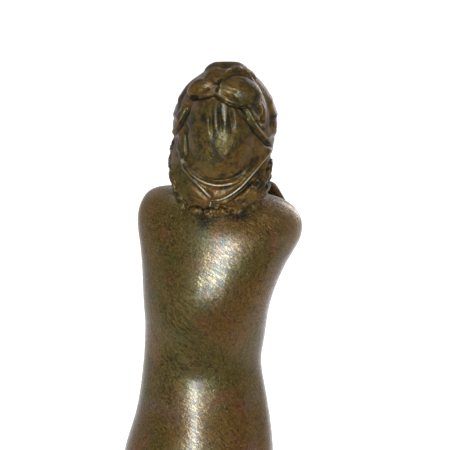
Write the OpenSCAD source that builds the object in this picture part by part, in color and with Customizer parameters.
// Bronze statuette of a standing nude with a knotted headscarf, on a bronze ground
// and a two-step marble plinth. Lost-wax castings, pinned and bolted together.
// The figure faces -Y, its left side is +X, and Z = 0 is the underside of the felt.

/* [Figure] */
// Height of the figure, from the soles to the top of the scarf's knot
figure_h = 207; // [196:1:218]
// Radius of the tenon that plugs the head into the trunk
neck_tenon_r = 3; // [2.5:0.1:3.4]
// Radius of the tenon that plugs each arm into its shoulder
arm_tenon_r = 2.2; // [1.8:0.1:2.6]
// Radius of the cross pins that lock the tenons
pin_r = 0.8; // [0.6:0.1:1]
// Radius of the screw plugs that close the core holes
plug_r = 1.2; // [0.9:0.1:1.5]

/* [Bronze ground] */
// Diameter of the bronze ground under the feet
ground_d = 66; // [62:1:72]
// Height of the bronze ground
ground_h = 7; // [6.5:0.1:9]
// Thickness of the ground's wall and top
ground_wall = 3; // [2.5:0.1:3.2]

/* [Plinth] */
// Width of the upper marble block
block_w = 76; // [74:1:84]
// Height of the upper marble block
block_h = 24; // [18:1:32]
// Width of the lower marble slab
slab_w = 88; // [86:1:100]
// Height of the lower marble slab
slab_h = 10; // [10:1:14]
// Bevel along the edges of the marble
bevel = 1.6; // [0.8:0.1:2.4]
// Thickness of the felt under the slab
felt_t = 1; // [0.8:0.1:2]

/* [Fixings] */
// Radius of the central stud
stud_r = 2.5; // [2.5:0.1:3]
// Radius of the stud in each foot
foot_stud_r = 1.5; // [1.2:0.1:1.5]
// Radius of the dowels that stop the ground from turning
dowel_r = 1; // [0.8:0.1:1.2]

/* [Hidden] */
$fn = 64;

bronze = [0.33, 0.25, 0.13];
steel = [0.62, 0.63, 0.65];
black_marble = [0.07, 0.07, 0.08];
green_marble = [0.10, 0.17, 0.13];
investment = [0.72, 0.55, 0.44];
baize = [0.12, 0.24, 0.15];

drawn_h = 207;
k = figure_h / drawn_h;
fit = 0.02;
stand_y = 4;
slab_z = felt_t;
block_z = slab_z + slab_h;
ground_z = block_z + block_h;
sole_z = ground_z + ground_h;

// ---- Stations, in the figure's own frame: origin on the ground between the feet ----

// Trunk: height, right side, left side, front, back
TRUNK = [
  [88, -1, 6, -4, 5], [92, -9.5, 14.5, -8.6, 9.5], [97, -15.8, 20.4, -10.9, 11.6],
  [101, -17, 21.5, -11.4, 12.6], [105, -17, 21.4, -11.7, 12.9], [110, -16.6, 20, -11.8, 12.2],
  [115, -16, 18.4, -11.7, 11], [121, -15, 17.2, -11.3, 9.6], [127, -13.9, 16.4, -10.6, 8.9],
  [131, -13.7, 15.9, -10.3, 9.2], [135, -14.2, 15.6, -10.3, 10],
  [139.5, -14.9, 15.6, -10.6, 11.1], [144, -15.7, 16, -11.1, 12],
  [149, -17.2, 16.2, -11.4, 12.3], [155, -19.7, 16.4, -11.2, 11.9],
  [161, -23.3, 17, -10.3, 10.9], [164.4, -24.1, 17.5, -9.6, 10.1],
  [167.5, -23.3, 17.5, -8.8, 9], [170, -20.9, 16.9, -7.8, 7.8], [171.8, -17.4, 16, -6.8, 6.6],
  [173.3, -11.4, 14.9, -5.6, 5.2], [174.4, -3, 12.8, -3.6, 3.6]];
trunk_power = 2.35;

// Limbs: x, y, z, half-width, half-depth
LEFT_LEG = [
  [11.2, 0.5, 111, 6.5, 8], [11.8, 0.4, 103, 9.4, 10.6], [11.6, 0, 95, 10, 11],
  [10.6, -0.9, 84, 9.3, 10.1], [9.6, -1.7, 74, 8.2, 8.9], [8.8, -2, 66, 7.1, 7.7],
  [8.3, -2.2, 58.5, 6.2, 6.8], [7.8, -1, 51, 5.9, 6.4], [7.2, 0.6, 43, 6.1, 6.8],
  [6.6, 1.4, 34, 5.3, 5.9], [6.1, 1.8, 24, 4.1, 4.5], [5.8, 2.1, 15, 3.5, 4],
  [5.7, 2.4, 9, 3.6, 4.3], [5.7, 2.6, 3.6, 2.7, 3.5]];
RIGHT_LEG = [
  [-6.2, 0.5, 111, 6.5, 8], [-6.8, 0.1, 103, 9.2, 10.6], [-6.9, -0.8, 95, 9.7, 10.8],
  [-6.5, -3, 84, 9, 9.9], [-6.1, -4.9, 74, 7.9, 8.7], [-5.8, -6.4, 66, 6.9, 7.5],
  [-5.8, -7.1, 58.5, 6.1, 6.7], [-6, -5.6, 51, 5.8, 6.4], [-6.4, -2.9, 43, 6, 6.7],
  [-6.8, -0.6, 34, 5.2, 5.8], [-7.2, 1, 24, 4.1, 4.5], [-7.5, 2.1, 15, 3.5, 4],
  [-7.6, 2.4, 9, 3.6, 4.3], [-7.6, 2.6, 3.6, 2.7, 3.5]];
LEFT_FOOT = [
  [5.7, 8.2, 3.8, 1.6, 1.8], [5.7, 7, 4, 3.3, 3.7], [5.7, 3, 4.6, 3.6, 4.6],
  [5.8, -3, 4.4, 3.9, 4.3], [6.2, -9, 3.4, 4.5, 3.4], [6.6, -14, 2.6, 5, 2.6],
  [6.8, -18, 2, 4.8, 2.1], [6.9, -21, 1.6, 3.6, 1.6], [6.9, -22, 1.4, 1.8, 0.9]];
RIGHT_FOOT = [
  [-7.4, 8.2, 3.8, 1.6, 1.8], [-7.5, 7, 4, 3.3, 3.7], [-7.7, 3, 4.6, 3.6, 4.6],
  [-8.3, -3, 4.4, 3.9, 4.3], [-9.2, -9, 3.4, 4.5, 3.4], [-10.1, -14, 2.6, 5, 2.6],
  [-10.8, -18, 2, 4.8, 2.1], [-11.2, -21, 1.6, 3.6, 1.6], [-11.3, -22, 1.4, 1.8, 0.9]];
LEFT_UPPER = [
  [8, 1.5, 165, 4.5, 4.5], [11, -1.6, 167.3, 6.4, 6.5], [9.8, -5.8, 161.5, 5.9, 6],
  [7.2, -10.4, 154, 4.9, 5.1], [4.4, -15.6, 145.6, 4.3, 4.5], [2.2, -19.6, 139.4, 4.1, 4.2],
  [1.4, -21, 137.2, 2.6, 2.7]];
LEFT_FORE = [
  [1.2, -21.4, 136.2, 2.2, 2.3], [0.6, -21.3, 139, 4, 4.1], [-0.9, -21.2, 143.6, 4.2, 4.2],
  [-2.9, -20.4, 150.4, 3.9, 3.8], [-5.2, -19.4, 158.4, 3.2, 3], [-7, -18.5, 165, 2.9, 2.3],
  [-8, -17.9, 168, 2.7, 2]];
LEFT_ELBOW = [1.2, -20.6, 138.9];
RIGHT_UPPER = [
  [-13, 1.5, 163, 4.5, 4.5], [-17, -1.6, 165, 6.4, 6.5], [-15, -6, 159, 5.9, 6],
  [-12.6, -10.8, 151.4, 4.9, 5.1], [-10.2, -16, 143, 4.3, 4.5], [-8.4, -20, 136.9, 4.1, 4.2],
  [-7.8, -21.4, 134.8, 2.6, 2.7]];
RIGHT_FORE = [
  [-7.8, -21.8, 133.8, 2.2, 2.3], [-8.1, -21.2, 136.6, 4, 4.1], [-8.6, -20.4, 141.6, 4.2, 4.2],
  [-9.8, -18.6, 148.6, 3.9, 3.8], [-11.2, -16.4, 156.8, 3.2, 3], [-12.2, -14.4, 163.6, 2.9, 2.3],
  [-12.4, -13.6, 166.6, 2.7, 2]];
RIGHT_ELBOW = [-8.1, -20.7, 136.5];
elbow_r = 4.3;
NECK = [
  [-3.6, 3, 165, 6.6, 6.4], [-3.8, 1.6, 170, 6.4, 6.3], [-4.2, -1, 177, 6, 6.2],
  [-4.5, -3, 184, 6, 6]];
// Scarf and hair: height, right side, left side, front, back
SCARF = [
  [168, -8, 2, 5.5, 11.5], [170, -12.6, 6, 3.5, 13.8], [173.5, -15.2, 8.2, 0, 15.2],
  [177, -15.8, 9.2, -4, 15.8], [183, -16.2, 9.4, -8, 15.6], [187, -17, 8.6, -11, 15],
  [192, -17.9, 8.8, -13.5, 14.4], [197, -16.6, 7.7, -13.6, 12.4], [200.2, -15, 6, -13, 10.2],
  [203.2, -12.7, 3, -11.6, 7], [205, -10.8, 1, -10.4, 3.4], [206.6, -9.4, -0.5, -8.8, -1]];
FACE = [
  [174.6, -7, -2, -14.6, -9], [176.4, -8.8, -0.2, -16, -5], [180, -11.6, 2.6, -16.6, -1],
  [185, -13.4, 4.4, -17, 4], [190, -13.8, 4.8, -16.8, 6], [196, -13, 4, -15.6, 6]];
BREASTS = [[2.4, -9.4, 150], [-9, -9.4, 149]];
BUTTOCKS = [[11, 5, 99.2], [-5.8, 4.7, 98]];
breast_size = [5.6, 4.6, 5.8];
buttock_size = [10, 9.4, 11.4];

// Fingers: where each starts, bends and ends, with its radius at the knuckle
LEFT_FINGERS = [
  [[-12.4, -14.6, 172.2], [-16.6, -10.6, 171], [-19.4, -7.2, 168], 1.25],
  [[-13.2, -15.2, 170.4], [-17.4, -11.4, 168.8], [-20.2, -8.2, 165.6], 1.3],
  [[-13.4, -15.8, 168.4], [-17.4, -12.2, 166.6], [-20, -9.4, 163.8], 1.25],
  [[-13, -16.2, 166.6], [-16.4, -13.4, 164.8], [-18.6, -11, 162.6], 1.1],
  [[-9.4, -15.6, 171], [-11.2, -13.4, 174], [-12.8, -11.2, 175.4], 1.3]];
RIGHT_FINGERS = [
  [[-13.8, -10.8, 172.6], [-12.6, -8.2, 175.8], [-11.2, -5.6, 177.4], 1.25],
  [[-12.2, -11, 173.2], [-11, -8.4, 176.2], [-10, -5.8, 177.6], 1.3],
  [[-10.6, -11.4, 173], [-9.4, -8.8, 175.8], [-8.8, -6, 177], 1.2],
  [[-9.2, -11.8, 172.2], [-8.2, -9.6, 174.6], [-7.8, -7.2, 175.8], 1.1]];
LEFT_PALM = [[-7.6, -18, 167.4, 2.7, 2], [-10.4, -16.6, 169.4, 3.8, 2],
  [-13.2, -15, 170, 3.9, 1.8], [-14.6, -14, 169.8, 2.6, 1.2]];
RIGHT_PALM = [[-12.4, -13.8, 166, 2.7, 2], [-12, -12.4, 169, 3.6, 2],
  [-11.6, -11.2, 172, 3.5, 1.7], [-11.4, -10.6, 173.4, 2.4, 1.2]];

// Cuts and axes of the joints
LEFT_SHOULDER = [9.8, -5.8, 161.5];
LEFT_UPPER_ARM = [7.2, -10.4, 154];
RIGHT_SHOULDER = [-15, -6, 159];
RIGHT_UPPER_ARM = [-12.6, -10.8, 151.4];
NECK_FOOT = [-3.75, 1.8, 162.5];
NECK_HEAD = [-4.2, -0.6, 177];
arm_tenon_l = 6;
tenon_root = 1.5;
neck_tenon_l = 14;
// Cross pins: the end just under the skin, and the blind end
NECK_PIN = [[-3.9, 8.4, 168], [-3.9, -3.6, 168]];
LEFT_PIN = [[16.4, -4.3, 163.95], [6.4, -4.3, 163.95]];
RIGHT_PIN = [[-22.1, -4.45, 161.45], [-11.4, -4.45, 161.45]];
// Investment core of the trunk: height, right side, left side, front, back
CORE = [[106, -6, 10, -4, 5], [112, -9.5, 12.5, -6.5, 6.4], [121, -9, 11.6, -6, 4.8],
  [131, -7.6, 10, -5.2, 3.6], [141, -9, 10.2, -5.6, 5], [150, -11.5, 11, -6, 7],
  [156, -13, 9, -5, 7], [159, -9, 5, -2, 4]];
HEAD_CORE = [-4.5, -0.5, 191];
head_core_r = 8;
// Screw plugs: the end just under the skin, and the end towards the core
PLUGS = [[[1, -11.1, 122], [1, -6.4, 122]], [[15.4, -1, 135], [10.6, -1, 135]],
  [[-14, -1, 135], [-8.9, -1, 135]], [[2, 11, 114], [2, 6.8, 114]]];
PLUG_WAYS = [[0, -1, 0], [1, 0, 0], [-1, 0, 0], [0, 1, 0]];
// Foot studs: foot of each on the sole, and the height each reaches up the leg
LEFT_STUD = [5.75, 2.3, 0];
RIGHT_STUD = [-7.5, 2.2, 0];
foot_stud_up = 20;
foot_washer_t = 0.5;
foot_nut_h = 2.4;
foot_stud_end = 0.5;
ground_core_r = ground_d / 2 - ground_wall;
boss_r = 6;
stud_bite = 4.6;
DOWELS = [[-21, -17], [21, -17]];
dowel_boss_r = 2.4;
dowel_up = 4;
dowel_down = 6;
washer_r = 7;
stud_washer_t = 1;
stud_nut_h = 4;
counterbore_r = 9;
counterbore_h = 6.6;
stud_end = 0.8;

// ---- Curves and skins ----

function unit(v) = v / norm(v);
// Point at t between the second and third of four stations, on a Catmull-Rom curve
function between(a, b, c, d, t) =
  0.5 * (2 * b + (c - a) * t + (2 * a - 5 * b + 4 * c - d) * t * t
    + (3 * b - a - 3 * c + d) * t * t * t);
function curve(s, steps) = [
  for (i = [0 : len(s) - 2], j = [0 : steps - 1])
    between(s[max(i - 1, 0)], s[i], s[i + 1], s[min(i + 2, len(s) - 1)], j / steps),
  s[len(s) - 1]];
function power(x, p) = sign(x) * pow(abs(x), p);
function point(s) = [s[0], s[1], s[2]];
// Level ring of a station [height, right, left, front, back], squared off by a power
// and let out all round by g
function level_ring(s, n, p, g) = [
  for (i = [0 : n - 1]) [
    (s[1] + s[2]) / 2 + ((s[2] - s[1]) / 2 + g) * power(cos(360 * i / n), 2 / p),
    (s[3] + s[4]) / 2 + ((s[4] - s[3]) / 2 + g) * power(sin(360 * i / n), 2 / p), s[0]]];
// Ring of a limb's station, square to the limb, with its width on the given side
function limb_ring(s, along, side, n, g) =
  let (u = unit(side - (side * along) * along), v = cross(along, u))
  [for (i = [0 : n - 1]) point(s)
    + (s[3] + g) * cos(360 * i / n) * u + (s[4] + g) * sin(360 * i / n) * v];

module skin(rings, n) {
  last = len(rings) - 1;
  polyhedron(
    points = [for (r = rings) each r],
    faces = concat(
      [[for (i = [0 : n - 1]) i]],
      [for (j = [0 : last - 1], i = [0 : n - 1])
        [j * n + i, (j + 1) * n + (i + 1) % n, j * n + (i + 1) % n]],
      [for (j = [0 : last - 1], i = [0 : n - 1])
        [j * n + i, (j + 1) * n + i, (j + 1) * n + (i + 1) % n]],
      [[for (i = [n - 1 : -1 : 0]) last * n + i]]));
}

module level_loft(stations, n, steps, p, g = 0)
  skin([for (s = curve(stations, steps)) level_ring(s, n, p, g)], n);

module limb(stations, n, steps, side = [1, 0, 0], g = 0) {
  s = curve(stations, steps);
  last = len(s) - 1;
  skin([for (i = [0 : last])
    limb_ring(s[i], unit(point(s[min(i + 1, last)]) - point(s[max(i - 1, 0)])), side, n, g)],
    n);
}

module ball(p, size, g = 0) translate(p) scale(size + [g, g, g]) sphere(1, $fn = 24);

// Turns the Z axis to run from p towards q
module aim(p, q) {
  v = q - p;
  translate(p) rotate([0, acos(v[2] / norm(v)), atan2(v[1], v[0])]) children();
}
module rod(p, q, r) aim(p, q) cylinder(r = r, h = norm(q - p));
// Rod with its first end drawn out by more
module drawn_rod(p, q, r, more) rod(p + more * unit(p - q), q, r);

// Keeps a blended skin whole, at its own size
module whole() resize([0, 0, 0]) children();
module figure() translate([0, stand_y, sole_z]) scale(k) children();

// ---- The figure's masses, each let out all round by g ----

module trunk_mass(g = 0) {
  level_loft(TRUNK, 36, 2, trunk_power, g);
  for (p = BUTTOCKS) ball(p, buttock_size, g);
  for (p = BREASTS) ball(p, breast_size, g);
}

module leg_mass() difference() {
  union() {
    limb(LEFT_LEG, 22, 2);
    limb(RIGHT_LEG, 22, 2);
    limb(LEFT_FOOT, 14, 2);
    limb(RIGHT_FOOT, 14, 2);
  }
  translate([-30, -40, -10]) cube([60, 80, 10]);
}

// Half space that starts at p and runs on the way from p to q
module beyond(p, q) aim(p, q) translate([-15, -15, 0]) cube([30, 30, 90]);

module shoulder_mass(arm, p, q, g = 0) difference() {
  limb([for (i = [0 : 4]) arm[i]], 16, 2, g = g);
  translate(-g * unit(p - q)) beyond(p, q);
}

module body_mass(g = 0) {
  trunk_mass(g);
  shoulder_mass(LEFT_UPPER, LEFT_SHOULDER, LEFT_UPPER_ARM, g);
  shoulder_mass(RIGHT_UPPER, RIGHT_SHOULDER, RIGHT_UPPER_ARM, g);
}

module finger(f, g = 0) limb([
  concat(f[0], [f[3] * 0.9, f[3] * 0.9]), concat((f[0] + f[1]) / 2, [f[3], f[3]]),
  concat(f[1], [f[3] * 0.95, f[3] * 0.95]), concat((f[1] + f[2]) / 2, [f[3] * 0.85, f[3] * 0.85]),
  concat(f[2], [f[3] * 0.35, f[3] * 0.35])], 8, 1, [0, 0, 1], g);

module arm_mass(upper, fore, elbow, g) {
  limb(upper, 16, 2, g = g);
  limb(fore, 16, 2, g = g);
  ball(elbow, elbow_r * [1, 1, 1], g);
}

module left_arm_mass(g = 0) {
  arm_mass(LEFT_UPPER, LEFT_FORE, LEFT_ELBOW, g);
  limb(LEFT_PALM, 12, 2, [0, 0, 1], g);
  for (f = LEFT_FINGERS) finger(f, g);
}

module right_arm_mass(g = 0) {
  arm_mass(RIGHT_UPPER, RIGHT_FORE, RIGHT_ELBOW, g);
  limb(RIGHT_PALM, 12, 2, g = g);
  for (f = RIGHT_FINGERS) finger(f, g);
}

module head_mass(g = 0) {
  level_loft(SCARF, 32, 2, 2.15, g);
  level_loft(FACE, 22, 2, 2.1, g);
  limb(NECK, 20, 2, g = g);
}

module core_mass(g = 0) level_loft(CORE, 14, 1, 2.1, g);

// ---- Tenons and the holes for the pins ----

module neck_tenon(r, more = 0) drawn_rod(NECK_FOOT, NECK_FOOT
  + neck_tenon_l * unit(NECK_HEAD - NECK_FOOT), r, more);

module arm_tenon(p, q, r, more = 0)
  rod(p - (arm_tenon_l + more) * unit(q - p), p + tenon_root * unit(q - p), r);

module pin_hole(pin) drawn_rod(pin[0], pin[1], pin_r + fit, 3);

// ---- Pieces of the figure ----

module body_casting() color(bronze) figure() difference() {
  whole() {
    body_mass();
    leg_mass();
  }
  core_mass();
  neck_tenon(neck_tenon_r + fit, 0.4);
  arm_tenon(LEFT_SHOULDER, LEFT_UPPER_ARM, arm_tenon_r + fit, 0.4);
  arm_tenon(RIGHT_SHOULDER, RIGHT_UPPER_ARM, arm_tenon_r + fit, 0.4);
  pin_hole(NECK_PIN);
  pin_hole(LEFT_PIN);
  pin_hole(RIGHT_PIN);
  for (i = [0 : 3])
    rod(PLUGS[i][0] + 4 * PLUG_WAYS[i], PLUGS[i][1] - 2 * PLUG_WAYS[i], plug_r + fit);
  for (p = [LEFT_STUD, RIGHT_STUD])
    translate(p - [0, 0, 1]) cylinder(r = foot_stud_r / k + fit, h = foot_stud_up / k + 1.3);
}

module head_casting() color(bronze) figure() difference() {
  union() {
    whole() difference() {
      head_mass();
      body_mass(fit);
    }
    neck_tenon(neck_tenon_r);
  }
  translate(HEAD_CORE) sphere(head_core_r);
  pin_hole(NECK_PIN);
}

module left_arm_casting() color(bronze) figure() difference() {
  union() {
    whole() difference() {
      left_arm_mass();
      body_mass(fit);
      head_mass(fit);
    }
    arm_tenon(LEFT_SHOULDER, LEFT_UPPER_ARM, arm_tenon_r);
  }
  pin_hole(LEFT_PIN);
}

module right_arm_casting() color(bronze) figure() difference() {
  union() {
    whole() difference() {
      right_arm_mass();
      body_mass(fit);
      head_mass(fit);
      left_arm_mass(fit);
    }
    arm_tenon(RIGHT_SHOULDER, RIGHT_UPPER_ARM, arm_tenon_r);
  }
  pin_hole(RIGHT_PIN);
}

module trunk_core() color(investment) figure() core_mass(-fit);
module head_core() color(investment) figure() translate(HEAD_CORE) sphere(head_core_r - fit);
module core_plugs() color(bronze) figure() for (p = PLUGS) rod(p[0], p[1], plug_r);
module neck_pin() color(bronze) figure() rod(NECK_PIN[0], NECK_PIN[1], pin_r);
module left_arm_pin() color(bronze) figure() rod(LEFT_PIN[0], LEFT_PIN[1], pin_r);
module right_arm_pin() color(bronze) figure() rod(RIGHT_PIN[0], RIGHT_PIN[1], pin_r);

// ---- Foot studs, nuts and washers, in place under the ground ----

module at_foot(p) translate([k * p[0], k * p[1] + stand_y, sole_z]) children();
foot_stud_down = ground_wall + foot_washer_t + foot_nut_h + foot_stud_end;

module foot_stud(p) color(steel) at_foot(p) translate([0, 0, -foot_stud_down])
  cylinder(r = foot_stud_r, h = foot_stud_down + foot_stud_up);
module left_foot_stud() foot_stud(LEFT_STUD);
module right_foot_stud() foot_stud(RIGHT_STUD);

module foot_washers() color(steel) for (p = [LEFT_STUD, RIGHT_STUD])
  at_foot(p) translate([0, 0, -ground_wall - foot_washer_t]) difference() {
    cylinder(r = foot_stud_r * 2.2, h = foot_washer_t);
    translate([0, 0, -1]) cylinder(r = foot_stud_r + 0.1, h = foot_washer_t + 2);
  }

module foot_nuts() color(steel) for (p = [LEFT_STUD, RIGHT_STUD])
  at_foot(p) translate([0, 0, -ground_wall - foot_washer_t - foot_nut_h]) difference() {
    cylinder(r = foot_stud_r * 2.1, h = foot_nut_h, $fn = 6);
    translate([0, 0, -1]) cylinder(r = foot_stud_r + fit, h = foot_nut_h + 2);
  }

// ---- Bronze ground ----

module ground_casting() color(bronze) difference() {
  union() {
    difference() {
      translate([0, 0, ground_z]) rotate_extrude() polygon([
        [0, 0], [ground_d / 2, 0], [ground_d / 2, ground_h - 3], [ground_d / 2 - 0.9, ground_h - 0.9],
        [ground_d / 2 - 3, ground_h], [0, ground_h]]);
      translate([0, 0, ground_z - 1])
        cylinder(r = ground_core_r, h = ground_h - ground_wall + 1);
    }
    translate([0, 0, ground_z]) cylinder(r = boss_r, h = ground_h - ground_wall + 0.5);
    for (d = DOWELS) translate([d[0], d[1], ground_z])
      cylinder(r = dowel_boss_r, h = ground_h - ground_wall + 0.5);
  }
  translate([0, 0, ground_z - 1]) cylinder(r = stud_r + fit, h = stud_bite + 1.2);
  for (d = DOWELS) translate([d[0], d[1], ground_z - 1])
    cylinder(r = dowel_r + fit, h = dowel_up + 1.2);
  for (p = [LEFT_STUD, RIGHT_STUD])
    at_foot(p) translate([0, 0, -ground_wall - 1]) cylinder(r = foot_stud_r + 0.1, h = ground_wall + 2);
}

// ---- Plinth ----

counterbore_z = slab_z + counterbore_h;

// Block with its upright and upper edges bevelled
module stone(w, h, top) {
  e = w / 2;
  c = e - bevel / 2;
  outline = [[e, c], [c, e], [-c, e], [-e, c], [-e, -c], [-c, -e], [c, -e], [e, -c]];
  linear_extrude(h - top) polygon(outline);
  translate([0, 0, h - top]) linear_extrude(top, scale = (e - top) / e) polygon(outline);
}

module plinth_block() color(black_marble) difference() {
  translate([0, 0, block_z]) stone(block_w, block_h, bevel);
  translate([0, 0, block_z - 1]) cylinder(r = stud_r + 0.5, h = block_h + 2);
  for (d = DOWELS) translate([d[0], d[1], ground_z - dowel_down - 0.2])
    cylinder(r = dowel_r + fit, h = dowel_down + 1);
}

module plinth_slab() color(green_marble) difference() {
  translate([0, 0, slab_z]) stone(slab_w, slab_h, bevel * 1.5);
  translate([0, 0, slab_z - 1]) cylinder(r = stud_r + 0.5, h = slab_h + 2);
  translate([0, 0, slab_z - 1]) cylinder(r = counterbore_r, h = counterbore_h + 1);
}

module locating_dowels() color(steel) for (d = DOWELS)
  translate([d[0], d[1], ground_z - dowel_down]) cylinder(r = dowel_r, h = dowel_down + dowel_up);

module stud_washer() color(steel) translate([0, 0, counterbore_z - stud_washer_t]) difference() {
  cylinder(r = washer_r, h = stud_washer_t);
  translate([0, 0, -1]) cylinder(r = stud_r + 0.2, h = stud_washer_t + 2);
}

stud_nut_z = counterbore_z - stud_washer_t - stud_nut_h;

module stud_nut() color(steel) translate([0, 0, stud_nut_z]) difference() {
  cylinder(r = stud_r * 1.85, h = stud_nut_h, $fn = 6);
  translate([0, 0, -1]) cylinder(r = stud_r + fit, h = stud_nut_h + 2);
}

module ground_stud() color(steel) translate([0, 0, stud_nut_z - stud_end])
  cylinder(r = stud_r, h = ground_z + stud_bite - stud_nut_z + stud_end);

module felt_pad() color(baize) linear_extrude(felt_t) square(slab_w - 4, center = true);

body_casting();
head_casting();
left_arm_casting();
right_arm_casting();
ground_casting();
trunk_core();
head_core();
core_plugs();
neck_pin();
left_arm_pin();
right_arm_pin();
left_foot_stud();
right_foot_stud();
foot_washers();
foot_nuts();
ground_stud();
stud_washer();
stud_nut();
locating_dowels();
plinth_block();
plinth_slab();
felt_pad();
